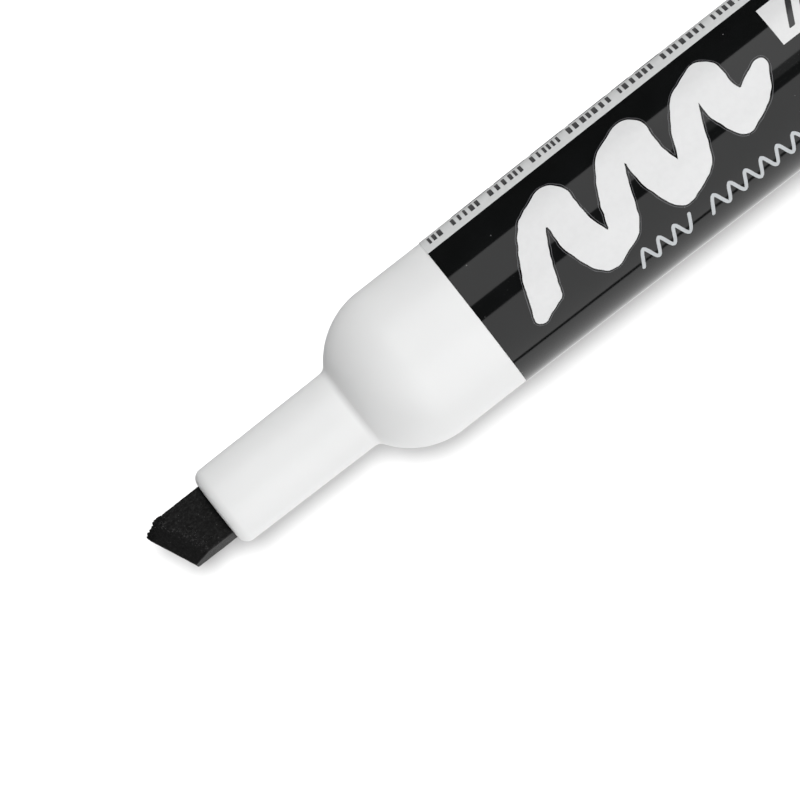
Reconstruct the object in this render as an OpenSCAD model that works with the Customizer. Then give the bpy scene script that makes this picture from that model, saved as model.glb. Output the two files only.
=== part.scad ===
// Chisel-tip whiteboard marker, lying on its side with its cap posted on the rear end.
// The axis runs along X with the nib toward -X, and Z = 0 is the surface that the marker lies on.
// A station is a distance along the axis from the nib's tip, and a radius is taken from the axis.

/* [Nib] */
// How far the nib's long corner stands out of the nozzle
nib_reach = 7.2; // [5.5:0.1:7.5]
// Width across the broad faces
nib_width = 5.8; // [5:0.1:6.2]
// Thickness between the broad faces
nib_thickness = 3.7; // [3.2:0.1:4]
// Slant of the writing edge from square to the axis, in degrees
nib_slant = 24; // [10:0.5:30]
// Length of the bevel on the upper broad face, square to the writing edge
nib_bevel = 1.7; // [1:0.05:2.5]
// Thickness of the blunt writing edge
nib_edge = 1.7; // [1.2:0.1:2]
// Turn of the nib about the marker's axis, in degrees
nib_roll = 10.5; // [-30:0.5:30]

/* [Nozzle and shoulder] */
// Outer radius of the nozzle where it meets the shoulder
nozzle_r = 4.47; // [4.4:0.01:4.5]
// Draft of the nozzle: what its radius loses on the way to its front rim
nozzle_draft = 0.12; // [0:0.01:0.2]
// Distance from the nozzle's front face to the centre of the domed shoulder
nozzle_to_dome = 24; // [22:0.1:24.5]
// Rounding of the nozzle's front rim
nozzle_edge = 1.1; // [0.4:0.05:1.2]
// Radius of the domed shoulder and of the seat behind it, which the closed cap slides over
seat_r = 8.57; // [8.5:0.01:8.6]
// Length of the seat, from the dome's centre to the front edge of the label
seat_len = 7.9; // [6:0.1:9]

/* [Barrel] */
// Outer radius of the rear of the barrel
barrel_r = 8.78; // [8.7:0.01:8.9]
// Length of the drafted grip behind the seat
draft_len = 31; // [20:0.5:40]
// Length from the front edge of the label to the rear end of the barrel
barrel_len = 64; // [60:0.5:70]
// Wall of the barrel at the seat
barrel_wall = 1.35; // [1.1:0.05:1.5]
// Thickness of the printed film
label_film = 0.06; // [0.05:0.01:0.1]
// Length of the printed film
label_len = 60.5; // [55:0.5:61]
// Place of the film's seam round the barrel, in degrees from the top toward +Y
seam_angle = 118; // [60:1:180]

/* [Rear plug] */
// Length of the spigot that the cap posts on
spigot_len = 12.8; // [10:0.1:14]
// Length of the skirt that is pressed into the barrel
skirt_len = 9; // [6:0.5:12]

/* [Cap] */
// Length of the cap
cap_len = 43; // [42.5:0.1:45]
// Outer radius of the plain band at the cap's mouth
cap_mouth_r = 9.77; // [9.6:0.01:10]
// Outer radius at the closed end
cap_end_r = 9.35; // [9.2:0.01:9.5]
// Number of grip flutes
flute_count = 36; // [24:2:40]

/* [Hidden] */
$fn = 96;
slack = 0.05;
fit = 0.02;
cut = 1;

// Stations along the axis
nozzle_z = nib_reach;
nozzle_tip_r = nozzle_r - nozzle_draft;
dome_z = nozzle_z + nozzle_to_dome;
label_z = dome_z + seat_len;
draft_z = label_z + draft_len;
barrel_z = label_z + barrel_len;
flange_len = 1.2;
spigot_z = barrel_z + flange_len;
plug_z = spigot_z + spigot_len;
cap_gap = 0.3;
cap_z = spigot_z + cap_gap;
total_len = cap_z + cap_len;

// Inside of the barrel
nib_bore_r = 3.6;
lip_len = 2.2;
bore_r = seat_r - barrel_wall;
shoulder_fillet = 1;
fillet_z = dome_z - sqrt(pow(seat_r + shoulder_fillet, 2) - pow(nozzle_r + shoulder_fillet, 2));
barrel_chamfer = 0.25;
nib_rib_len = 12;
nib_rib_width = 0.8;
nib_rib_place = 1.5;
stop_rib_count = 6;
stop_rib_width = 0.9;
stop_rib_r = 4.7;
rod_z = dome_z - 0.9;
rod_gap = 0.5;
rod_end_z = barrel_z - skirt_len - rod_gap;
sleeve_film = 0.08;
sleeve_r = bore_r - 0.27;
rod_r = sleeve_r - sleeve_film - fit;

// Nib
nib_round = 0.2;
nib_corner_in = 0.6;
nib_corner_len = 1.8;
nib_under_bevel = 0.3;
nib_body_end = 27;
tail_width = 4.4;
tail_thickness = 2.8;
tail_step = 1.5;
tail_end = 35.5;
tail_point = 2;
tail_tip = 0.6;
nib_far = tail_end + tail_point;

// Rear plug
skirt_r = bore_r - fit;
plug_hollow_r = 6;
plug_end_wall = 1.6;
plug_edge = 1.2;
plug_rib_r = 4.4;
plug_rib_width = 1;

// Cap
cap_bore_r = seat_r + slack;
cap_bore_len = 14.5;
cap_step_len = 1;
cap_step_r = cap_bore_r - 0.27;
cap_deep_r = cap_bore_r - 0.5;
cap_end_wall = 2;
cap_band_len = 9;
cap_grip_r = cap_mouth_r - 0.17;
cap_mouth_edge = 0.35;
cap_end_edge = 1.8;
flute_r = 0.55;
flute_depth = 0.3;
flute_gap = 1.5;
flute_end = 3.2;
ring_r = 6;
ring_width = 0.4;
ring_depth = 0.3;
liner_r = 5.4;
liner_bore_r = nozzle_r + 0.06;
liner_seal_r = nozzle_r;
liner_mouth = 20;
liner_bottom = 1;
liner_lead = 0.5;
seal_at = 2.2;
seal_round = 0.6;
socket_wall = 0.85;
socket_len = 8;

// Lays a piece drawn round the Z axis down along X, with station 0 at the nib's tip
module lay() {
    translate([-total_len / 2, 0, cap_mouth_r]) rotate([0, 90, 0]) children();
}

// Straight stretch of a turned outline, from one station and radius to another
module stretch(z1, r1, z2, r2) {
    polygon([[0, z1], [r1, z1], [r2, z2], [0, z2]]);
}

// Half disc whose centre is on the axis
module half_disc(r) {
    intersection() {
        circle(r);
        translate([0, -r]) square([r, 2 * r]);
    }
}

// Rectangle with round corners, w along Y and t along X
module round_rect(w, t, r) {
    square([t, w - 2 * r], center = true);
    square([t - 2 * r, w], center = true);
    for (x = [-1, 1], y = [-1, 1]) {
        translate([x * (t / 2 - r), y * (w / 2 - r)]) circle(r);
    }
}

// Outer outline of the barrel
module barrel_outline() {
    // Nozzle with its rounded rim
    rim_r = nozzle_tip_r - nozzle_edge;
    stretch(nozzle_z, rim_r, nozzle_z + nozzle_edge, rim_r);
    stretch(nozzle_z + nozzle_edge, nozzle_tip_r, fillet_z, nozzle_r);
    translate([rim_r, nozzle_z + nozzle_edge]) circle(nozzle_edge);
    // Fillet where the nozzle runs into the dome
    fillet_r = nozzle_r + shoulder_fillet;
    touch = seat_r / (seat_r + shoulder_fillet);
    difference() {
        polygon([
            [0, fillet_z],
            [nozzle_r, fillet_z],
            [fillet_r, fillet_z],
            [fillet_r * touch, dome_z - (dome_z - fillet_z) * touch],
            [0, dome_z]
        ]);
        translate([fillet_r, fillet_z]) circle(shoulder_fillet);
    }
    // Dome, seat, drafted grip and straight rear
    translate([0, dome_z]) half_disc(seat_r);
    stretch(dome_z, seat_r, label_z, seat_r);
    stretch(label_z, seat_r, draft_z, barrel_r);
    stretch(draft_z, barrel_r, barrel_z - barrel_chamfer, barrel_r);
    stretch(barrel_z - barrel_chamfer, barrel_r, barrel_z, barrel_r - barrel_chamfer);
}

// Hollow of the barrel
module barrel_hollow() {
    stretch(nozzle_z + lip_len, nib_bore_r, dome_z, nib_bore_r);
    translate([0, dome_z]) half_disc(bore_r);
    stretch(dome_z, bore_r, barrel_z + cut, bore_r);
}

// Ribs in the nozzle that grip the nib's broad faces
module nib_ribs() {
    rib_low = nib_thickness / 2 + slack;
    for (x = [-1, 1], y = [-1, 1]) {
        translate([x * (rib_low + nib_bore_r + fit) / 2, y * nib_rib_place, nozzle_z + lip_len - fit])
            translate([0, 0, nib_rib_len / 2])
                cube([nib_bore_r + fit - rib_low, nib_rib_width, nib_rib_len], center = true);
    }
}

// Radial ribs inside the dome that the reservoir is pushed against
module stop_ribs() {
    intersection() {
        translate([0, 0, dome_z]) sphere(bore_r + fit);
        for (i = [0:stop_rib_count - 1]) {
            rotate([0, 0, i * 360 / stop_rib_count])
                translate([stop_rib_r, -stop_rib_width / 2, dome_z - bore_r])
                    cube([bore_r - stop_rib_r + cut, stop_rib_width, rod_z - dome_z + bore_r]);
        }
    }
}

// White moulding: barrel, domed shoulder and nozzle in one piece
module barrel() {
    color("white") lay() {
        difference() {
            rotate_extrude() barrel_outline();
            rotate_extrude() barrel_hollow();
            rotate([0, 0, -nib_roll]) translate([0, 0, nozzle_z - cut])
                linear_extrude(lip_len + 2 * cut)
                    round_rect(nib_width + 2 * slack, nib_thickness + 2 * slack, nib_round);
        }
        rotate([0, 0, -nib_roll]) nib_ribs();
        stop_ribs();
    }
}

// Printed film wrapped round the grip, with a narrow gap at its seam
module barrel_label() {
    seam_gap = 0.3;
    label_end = label_z + label_len;
    color([0.09, 0.09, 0.1]) lay() difference() {
        rotate_extrude() polygon([
            [seat_r, label_z],
            [seat_r + label_film, label_z],
            [barrel_r + label_film, draft_z],
            [barrel_r + label_film, label_end],
            [barrel_r, label_end],
            [barrel_r, draft_z]
        ]);
        rotate([0, 0, 180 - seam_angle]) translate([0, -seam_gap / 2, label_z - cut])
            cube([barrel_r + cut, seam_gap, label_len + 2 * cut]);
    }
}

// Broad outline of the nib, seen square to its broad faces
module nib_plan() {
    half = nib_width / 2;
    long_corner = half - nib_corner_in;
    polygon([
        [long_corner, 0],
        [half, nib_corner_len],
        [half, nib_body_end],
        [tail_width / 2, nib_body_end + tail_step],
        [tail_width / 2, tail_end],
        [tail_tip, nib_far],
        [-tail_tip, nib_far],
        [-tail_width / 2, tail_end],
        [-tail_width / 2, nib_body_end + tail_step],
        [-half, nib_body_end],
        [-half, 0]
    ]);
}

// Side outline of the nib's body and tail, without its bevels
module nib_side() {
    half = nib_thickness / 2;
    polygon([
        [half, -cut],
        [half, nib_body_end],
        [tail_thickness / 2, nib_body_end + tail_step],
        [tail_thickness / 2, tail_end],
        [tail_tip, nib_far],
        [-tail_tip, nib_far],
        [-tail_thickness / 2, tail_end],
        [-tail_thickness / 2, nib_body_end + tail_step],
        [-half, nib_body_end],
        [-half, -cut]
    ]);
}

// Wedge of the nib's end: a long bevel above, a blunt writing edge and a small bevel under it
module nib_wedge() {
    half = nib_thickness / 2;
    edge_under = half - nib_under_bevel;
    polygon([
        [edge_under, 0],
        [half, nib_under_bevel],
        [half + cut, nib_under_bevel],
        [half + cut, nib_far + 2 * cut],
        [-half - cut, nib_far + 2 * cut],
        [-half - cut, nib_bevel],
        [-half, nib_bevel],
        [edge_under - nib_edge, 0]
    ]);
}

// Felt chisel nib with its tail
module nib() {
    long_corner = nib_width / 2 - nib_corner_in;
    wide = 2 * nib_far;
    color([0.1, 0.1, 0.1]) lay() rotate([0, 0, -nib_roll]) intersection() {
        rotate([90, 0, 90]) linear_extrude(nib_width, center = true) nib_plan();
        rotate([90, 0, 0]) linear_extrude(wide, center = true) nib_side();
        translate([0, long_corner, 0]) rotate([-nib_slant, 0, 0])
            rotate([90, 0, 0]) linear_extrude(wide, center = true) nib_wedge();
        translate([0, 0, -cut]) linear_extrude(nib_far + 2 * cut)
            round_rect(nib_width, nib_thickness, nib_round);
    }
}

// Fibre rod that holds the ink, with a pocket for the nib's tail
module ink_reservoir() {
    color([0.2, 0.2, 0.22]) lay() difference() {
        translate([0, 0, rod_z]) cylinder(r = rod_r, h = rod_end_z - rod_z);
        rotate([0, 0, -nib_roll]) translate([0, 0, rod_z - cut])
            linear_extrude(nib_far + slack - rod_z + cut)
                round_rect(tail_width + 2 * slack, tail_thickness + 2 * slack, slack);
    }
}

// Clear film round the fibre rod
module reservoir_sleeve() {
    color([0.85, 0.88, 0.9]) lay() difference() {
        translate([0, 0, rod_z]) cylinder(r = sleeve_r, h = rod_end_z - rod_z);
        translate([0, 0, rod_z - cut])
            cylinder(r = sleeve_r - sleeve_film, h = rod_end_z - rod_z + 2 * cut);
    }
}

// Black plug: skirt inside the barrel, flange, and the spigot that the cap posts on
module rear_plug() {
    skirt_z = barrel_z - skirt_len;
    hollow_end = plug_z - plug_end_wall;
    color([0.08, 0.08, 0.08]) lay() {
        difference() {
            rotate_extrude() {
                stretch(skirt_z, skirt_r, barrel_z, skirt_r);
                stretch(barrel_z, barrel_r, spigot_z, barrel_r);
                stretch(spigot_z, seat_r, plug_z - plug_edge, seat_r);
                stretch(plug_z - plug_edge, seat_r - plug_edge, plug_z, seat_r - plug_edge);
                translate([seat_r - plug_edge, plug_z - plug_edge]) circle(plug_edge);
            }
            translate([0, 0, skirt_z - cut])
                cylinder(r = plug_hollow_r, h = hollow_end - skirt_z + cut);
        }
        for (i = [0:3]) {
            rotate([0, 0, 90 * i]) translate([plug_rib_r, -plug_rib_width / 2, skirt_z])
                cube([plug_hollow_r - plug_rib_r + slack, plug_rib_width, hollow_end - skirt_z + slack]);
        }
    }
}

// Outer outline of the cap, from its mouth at station 0
module cap_outline() {
    rim = cap_mouth_r - cap_mouth_edge;
    end_r = cap_end_r - cap_end_edge;
    stretch(0, rim, cap_mouth_edge, rim);
    translate([rim, cap_mouth_edge]) circle(cap_mouth_edge);
    stretch(cap_mouth_edge, cap_mouth_r, cap_band_len, cap_mouth_r);
    stretch(cap_band_len, cap_mouth_r, cap_band_len + cap_step_len, cap_grip_r);
    stretch(cap_band_len + cap_step_len, cap_grip_r, cap_len - cap_end_edge, cap_end_r);
    stretch(cap_len - cap_end_edge, end_r, cap_len, end_r);
    translate([end_r, cap_len - cap_end_edge]) circle(cap_end_edge);
}

// Hollow of the cap, with a lead-in at its mouth
module cap_hollow() {
    stretch(-cut, cap_bore_r + cap_mouth_edge + cut, cap_mouth_edge, cap_bore_r);
    stretch(0, cap_bore_r, cap_bore_len, cap_bore_r);
    stretch(cap_bore_len, cap_bore_r, cap_bore_len + cap_step_len, cap_step_r);
    stretch(cap_bore_len + cap_step_len, cap_step_r, cap_len - cap_end_wall, cap_deep_r);
}

// One grip flute, parallel to the drafted wall of the cap
module flute() {
    flute_z = cap_band_len + flute_gap;
    flute_len = cap_len - flute_end - flute_z;
    draft = atan((cap_grip_r - cap_end_r) / (cap_len - cap_band_len - cap_step_len));
    translate([cap_grip_r + flute_r - flute_depth, 0, flute_z]) rotate([0, -draft, 0]) {
        cylinder(r = flute_r, h = flute_len, $fn = 24);
        sphere(flute_r, $fn = 24);
        translate([0, 0, flute_len]) sphere(flute_r, $fn = 24);
    }
}

// Ribbed black cap with a socket for its liner
module cap_shell() {
    socket_z = cap_len - cap_end_wall - socket_len;
    color([0.08, 0.08, 0.08]) lay() translate([0, 0, cap_z]) {
        difference() {
            rotate_extrude() cap_outline();
            rotate_extrude() cap_hollow();
            for (i = [0:flute_count - 1]) {
                rotate([0, 0, i * 360 / flute_count]) flute();
            }
            translate([0, 0, cap_len - ring_depth]) difference() {
                cylinder(r = ring_r, h = cut);
                translate([0, 0, -cut]) cylinder(r = ring_r - ring_width, h = 3 * cut);
            }
        }
        translate([0, 0, socket_z]) difference() {
            cylinder(r = liner_r + fit + socket_wall, h = socket_len + slack);
            translate([0, 0, -cut]) cylinder(r = liner_r + fit, h = socket_len + 3 * cut);
        }
    }
}

// Inner seal of the cap: a cup whose bead closes on the nozzle
module cap_liner() {
    liner_end = cap_len - cap_end_wall;
    floor_z = liner_end - liner_bottom;
    color([0.92, 0.92, 0.9]) lay() translate([0, 0, cap_z]) rotate_extrude() {
        difference() {
            stretch(liner_mouth, liner_r, liner_end, liner_r);
            stretch(liner_mouth - cut, liner_bore_r, floor_z, liner_bore_r);
            stretch(liner_mouth - fit, liner_bore_r + liner_lead, liner_mouth + liner_lead, liner_bore_r);
        }
        difference() {
            translate([liner_seal_r + seal_round, liner_mouth + seal_at]) circle(seal_round);
            translate([liner_r - fit, liner_mouth]) square([cut, 2 * seal_at]);
        }
    }
}

barrel();
barrel_label();
nib();
ink_reservoir();
reservoir_sleeve();
rear_plug();
cap_shell();
cap_liner();
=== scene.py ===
"""A chisel-tip whiteboard marker with its cap posted on the rear end: looks, lights and camera.

Lengths are in millimetres until a mesh is made. x runs along the axis from the nib to the cap. A place on the
barrel's surface is (u, v): u along the axis from the label's front edge, and v round the barrel from the top
toward -Y, measured as an arc at the radius PRINT_R. Places along the axis come from the CAD frame.
"""
import math
import random

import bmesh
import bpy
import numpy as np
from mathutils import Matrix, Vector, noise


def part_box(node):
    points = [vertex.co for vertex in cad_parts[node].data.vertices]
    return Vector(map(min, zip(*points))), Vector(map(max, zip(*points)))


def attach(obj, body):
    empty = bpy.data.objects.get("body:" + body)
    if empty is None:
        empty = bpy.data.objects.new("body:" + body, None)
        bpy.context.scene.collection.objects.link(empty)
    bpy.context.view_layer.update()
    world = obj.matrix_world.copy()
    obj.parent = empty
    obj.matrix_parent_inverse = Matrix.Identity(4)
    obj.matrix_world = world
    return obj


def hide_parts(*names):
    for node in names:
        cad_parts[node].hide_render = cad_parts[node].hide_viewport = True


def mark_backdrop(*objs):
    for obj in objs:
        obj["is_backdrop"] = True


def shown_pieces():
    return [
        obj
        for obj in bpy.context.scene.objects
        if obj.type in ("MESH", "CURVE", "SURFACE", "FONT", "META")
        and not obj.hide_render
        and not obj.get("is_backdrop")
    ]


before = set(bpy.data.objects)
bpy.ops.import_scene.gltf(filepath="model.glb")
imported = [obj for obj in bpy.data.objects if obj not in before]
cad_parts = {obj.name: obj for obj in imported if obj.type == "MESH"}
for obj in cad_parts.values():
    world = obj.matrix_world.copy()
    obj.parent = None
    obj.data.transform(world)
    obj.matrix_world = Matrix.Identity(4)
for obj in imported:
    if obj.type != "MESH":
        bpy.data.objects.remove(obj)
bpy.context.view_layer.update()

MM = 0.001


def box_mm(node):
    """Lowest and highest corner of a CAD node, in millimetres."""
    low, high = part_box(node)
    return low / MM, high / MM


# Places along the axis, from the frame
NOZZLE_X = box_mm("barrel")[0].x
BARREL_END_X = box_mm("barrel")[1].x
LABEL_X = box_mm("barrel_label")[0].x
LABEL_END_X = box_mm("barrel_label")[1].x
PLUG_X, PLUG_END_X = (corner.x for corner in box_mm("rear_plug"))
CAP_X, CAP_END_X = (corner.x for corner in box_mm("cap_shell"))
LINER_X, LINER_END_X = (corner.x for corner in box_mm("cap_liner"))
AXIS_Z = (box_mm("cap_shell")[0].z + box_mm("cap_shell")[1].z) / 2

# Radii, from the frame
CAP_MOUTH_R = box_mm("cap_shell")[1].y
BARREL_R = box_mm("barrel")[1].y
LINER_R = box_mm("cap_liner")[1].y

# Barrel moulding
NOZZLE_R = 4.47
NOZZLE_TIP_R = 4.35
NOZZLE_EDGE = 1.1
LIP_LEN = 2.2
NIB_BORE_R = 3.6
SEAT_R = 8.57
SEAT_LEN = 7.9
SHOULDER_FILLET = 1.0
WALL = 1.35
DRAFT_LEN = 31.0
DOME_X = LABEL_X - SEAT_LEN
BORE_R = SEAT_R - WALL
EDGE = 0.12

# Nib and its slot. NIB_SIDE moves both a little off the axis
NIB_ROLL = math.radians(10.5)
SLOT_W = 5.9
SLOT_T = 3.8
SLOT_ROUND = 0.2
NIB_SIDE = -0.05
NIB_SLANT = math.radians(24)
NIB_BEVEL = 1.7
NIB_HALF_W = 2.9
NIB_HALF_T = 1.85
NIB_CORNER_Y = 2.3
NIB_CORNER_LEN = 1.8
FELT_SEED = 1
NIB_SPLIT = 1.5
FELT_VOXEL = 0.07
FIBRE_R = 0.014

# Printed film, with places round the barrel in degrees from the top toward -Y
FILM = 0.06
FILM_START = -0.07
FILM_STOPS = (10, 20, DRAFT_LEN, 45)
FILM_CELL = 0.3
PRINT_R = 8.7
SEAM_ANGLE = -118
SEAM_GAP = 0.3
PANEL_FROM = -56.3
PANEL_TO = 147
PANEL_LIFT = 0.01

# Rear plug
FLANGE_LEN = 1.2
SKIRT_R = BORE_R - 0.02
SKIRT_ROUND = 0.4
PLUG_HOLLOW_R = 6.0
PLUG_END_WALL = 1.6
PLUG_ROUND = 1.2
DIMPLE_R = 3.2
DIMPLE_FLOOR_R = 2.9
DIMPLE_DEPTH = 0.35

# Cap
CAP_LEN = CAP_END_X - CAP_X
CAP_BORE_R = SEAT_R + 0.05
CAP_BORE_LEN = 14.5
CAP_NARROW_R = CAP_BORE_R - 0.27
CAP_DEEP_R = 8.1
CAP_BAND_LEN = 9.0
CAP_STEP_LEN = 1.0
CAP_STEP_EDGE = 0.3
CAP_STEP_DROP = 0.02
CAP_GRIP_R = CAP_MOUTH_R - 0.17
CAP_END_R = 9.35
CAP_END_WALL = 2.0
CAP_FLOOR_X = CAP_END_X - CAP_END_WALL
CAP_MOUTH_ROUND = 0.35
CAP_END_ROUND = 1.8

# Ring groove and gate mark on the cap's end
GROOVE_R = 5.8
GROOVE_HALF = 0.25
GROOVE_FLOOR_HALF = 0.15
GROOVE_DEPTH = 0.28
GATE_R = 1.3
GATE_FLOOR_R = 1.15
GATE_DEPTH = 0.12

# Grip flutes
FLUTES = 36
FLUTE_R = 0.55
FLUTE_DEPTH = 0.3
FLUTE_FROM = 10.5
FLUTE_TO = CAP_LEN - 3.2
FLUTE_PITCH = 2 * math.pi / FLUTES

# Liner and its socket
SOCKET_R = LINER_R + 0.02
SOCKET_WALL = 0.85
SOCKET_LEN = 8.0
SOCKET_EDGE = 0.1
SOCKET_SINK = 0.05
LINER_BORE_R = NOZZLE_R + 0.06
LINER_LEAD_LEN = 0.4
LINER_LEAD = 0.45
LINER_EDGE = 0.1
LINER_BOTTOM = 1.0
BEAD_AT = 2.2
BEAD_HALF = 0.25
BEAD_HEIGHT = 0.06
BEAD_STEPS = 8

# Turned meshes, and the angles in degrees over which an edge stays sharp
TURN_SIDES = 192
ON_AXIS = 1e-6
SMOOTH_ANGLE = 30
MOULDING_SMOOTH = 40
CAP_SMOOTH = 35


# ---------------------------------------------------------------- meshes

def to_object(name, bm, material, smooth=SMOOTH_ANGLE):
    """Ends a bmesh made in millimetres as an object in metres. Edges over the smooth angle stay sharp."""
    bmesh.ops.scale(bm, vec=(MM, MM, MM), verts=bm.verts)
    bmesh.ops.recalc_face_normals(bm, faces=bm.faces)
    mesh = bpy.data.meshes.new(name)
    bm.to_mesh(mesh)
    bm.free()
    mesh.shade_smooth()
    mesh.set_sharp_from_angle(angle=math.radians(smooth))
    mesh.materials.append(material)
    piece = bpy.data.objects.new(name, mesh)
    bpy.context.scene.collection.objects.link(piece)
    return piece


def applied(piece):
    """Puts a piece's modifiers into its mesh."""
    depsgraph = bpy.context.evaluated_depsgraph_get()
    mesh = bpy.data.meshes.new_from_object(piece.evaluated_get(depsgraph))
    piece.modifiers.clear()
    piece.data = mesh
    return mesh


def arc(centre_x, centre_r, radius, start, end, count):
    """Outline points on a circle, with 0 degrees toward the cap and 90 away from the axis."""
    points = []
    for i in range(count + 1):
        angle = math.radians(start + (end - start) * i / count)
        points.append((centre_x + radius * math.cos(angle), centre_r + radius * math.sin(angle)))
    return points


def ring_point(x, r, angle):
    """Point at x, at radius r, at an angle in radians from the top toward -Y."""
    return Vector((x, -r * math.sin(angle), AXIS_Z + r * math.cos(angle)))


def turned(outline, angles=None, depth=None):
    """bmesh turned round the axis from a closed outline of (x, radius) points.

    depth(x, radius, angle) is taken off the radius. A point on the axis closes the end.
    """
    if angles is None:
        angles = [2 * math.pi * j / TURN_SIDES for j in range(TURN_SIDES)]
    bm = bmesh.new()
    rings = []
    for x, r in outline:
        if r < ON_AXIS:
            rings.append([bm.verts.new(ring_point(x, 0, 0))])
            continue
        rings.append([bm.verts.new(ring_point(x, r - (depth(x, r, a) if depth else 0), a)) for a in angles])
    for i, near in enumerate(rings):
        far = rings[(i + 1) % len(rings)]
        if len(near) == 1 and len(far) == 1:
            continue
        for j in range(len(angles)):
            k = (j + 1) % len(angles)
            if len(near) == 1:
                bm.faces.new((near[0], far[j], far[k]))
            elif len(far) == 1:
                bm.faces.new((near[j], near[k], far[0]))
            else:
                bm.faces.new((near[j], near[k], far[k], far[j]))
    return bm


def rounded_outline(width, thickness, radius, steps=6):
    """Points round a rectangle with round corners, (across, up)."""
    points = []
    for corner, (sx, sy) in enumerate(((1, 1), (-1, 1), (-1, -1), (1, -1))):
        for i in range(steps + 1):
            angle = math.radians(90 * corner + 90 * i / steps)
            points.append((sx * (width / 2 - radius) + radius * math.cos(angle),
                           sy * (thickness / 2 - radius) + radius * math.sin(angle)))
    return points


# ---------------------------------------------------------------- materials

def new_material(name, **values):
    """Principled material with its plain values set. Returns the material, its shader and its node tree."""
    material = bpy.data.materials.new(name)
    material.use_nodes = True
    tree = material.node_tree
    shader = tree.nodes["Principled BSDF"]
    for socket, value in values.items():
        shader.inputs[socket.replace("_", " ")].default_value = value
    return material, shader, tree


def add_node(tree, kind, **settings):
    """New node with its attributes and its input values set."""
    node = tree.nodes.new(kind)
    for key, value in settings.items():
        if hasattr(node, key):
            setattr(node, key, value)
        else:
            node.inputs[key.replace("_", " ")].default_value = value
    return node


def noise_of(tree, scale, detail=4.0, roughness=0.5, stretch=(1, 1, 1)):
    """Noise in the row frame. scale is in waves a metre, and stretch squeezes it along each axis."""
    place = add_node(tree, "ShaderNodeTexCoord")
    mapping = add_node(tree, "ShaderNodeMapping")
    mapping.inputs["Scale"].default_value = stretch
    texture = add_node(tree, "ShaderNodeTexNoise", Scale=scale, Detail=detail, Roughness=roughness)
    tree.links.new(place.outputs["Object"], mapping.inputs["Vector"])
    tree.links.new(mapping.outputs["Vector"], texture.inputs["Vector"])
    return texture.outputs["Fac"]


def specks_of(tree, scale, size, seed):
    """Sparse round specks: 1 inside a speck and 0 outside."""
    place = add_node(tree, "ShaderNodeTexCoord")
    mapping = add_node(tree, "ShaderNodeMapping")
    mapping.inputs["Location"].default_value = (seed, seed * 2, seed * 3)
    cells = add_node(tree, "ShaderNodeTexVoronoi", Scale=scale)
    tree.links.new(place.outputs["Object"], mapping.inputs["Vector"])
    tree.links.new(mapping.outputs["Vector"], cells.inputs["Vector"])
    stops = ((0.0, (1, 1, 1)), (size, (1, 1, 1)), (size * 1.5, (0, 0, 0)))
    return ramp_of(tree, cells.outputs["Distance"], stops)


def ramp_of(tree, value, stops):
    """Colour ramp over a value. stops are (position, (r, g, b))."""
    ramp = add_node(tree, "ShaderNodeValToRGB")
    elements = ramp.color_ramp.elements
    while len(elements) < len(stops):
        elements.new(0.5)
    for element, (position, colour) in zip(elements, stops):
        element.position = position
        element.color = (*colour, 1)
    tree.links.new(value, ramp.inputs["Fac"])
    return ramp.outputs["Color"]


def range_of(tree, value, low, high):
    """Stretches a 0 to 1 value to low to high."""
    node = add_node(tree, "ShaderNodeMapRange")
    node.inputs["To Min"].default_value = low
    node.inputs["To Max"].default_value = high
    tree.links.new(value, node.inputs["Value"])
    return node.outputs["Result"]


def step_of(tree, value, start, end):
    """0 below start, 1 above end, and a ramp between."""
    node = add_node(tree, "ShaderNodeMapRange")
    node.inputs["From Min"].default_value = start
    node.inputs["From Max"].default_value = end
    tree.links.new(value, node.inputs["Value"])
    return node.outputs["Result"]


def math_of(tree, operation, first, second):
    """Math node on a value and a second one, which is a socket or a plain number."""
    node = add_node(tree, "ShaderNodeMath", operation=operation)
    tree.links.new(first, node.inputs[0])
    if isinstance(second, bpy.types.NodeSocket):
        tree.links.new(second, node.inputs[1])
    else:
        node.inputs[1].default_value = second
    return node.outputs["Value"]


def distance_along(tree, direction):
    """Distance in metres from the row frame's origin along a direction."""
    place = add_node(tree, "ShaderNodeTexCoord")
    dot = add_node(tree, "ShaderNodeVectorMath", operation="DOT_PRODUCT")
    dot.inputs[1].default_value = direction
    tree.links.new(place.outputs["Object"], dot.inputs[0])
    return dot.outputs["Value"]


def mixed(tree, share, first, second):
    """Mix of two colours, each a socket or a plain colour."""
    node = tree.nodes.new("ShaderNodeMix")
    node.data_type = "RGBA"
    for socket, colour in ((node.inputs[6], first), (node.inputs[7], second)):
        if isinstance(colour, bpy.types.NodeSocket):
            tree.links.new(colour, socket)
        else:
            socket.default_value = (*colour, 1)
    tree.links.new(share, node.inputs[0])
    return node.outputs[2]


def bump_of(tree, shader, height, distance, strength=1.0):
    """Bump on a shader, with distance in metres."""
    node = add_node(tree, "ShaderNodeBump", Strength=strength, Distance=distance)
    tree.links.new(height, node.inputs["Height"])
    tree.links.new(node.outputs["Normal"], shader.inputs["Normal"])


def moulded_plastic(name, dark, light, rough_low, rough_high, grain):
    """Injection-moulded plastic: faint colour drift, uneven gloss and a fine grain."""
    material, shader, tree = new_material(name)
    drift = noise_of(tree, 90, detail=3)
    tree.links.new(ramp_of(tree, drift, ((0.3, dark), (0.7, light))), shader.inputs["Base Color"])
    patches = noise_of(tree, 260, detail=5, stretch=(0.35, 1, 1))
    tree.links.new(range_of(tree, patches, rough_low, rough_high), shader.inputs["Roughness"])
    bump_of(tree, shader, noise_of(tree, 4200, detail=6, roughness=0.6), grain)
    return material


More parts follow.
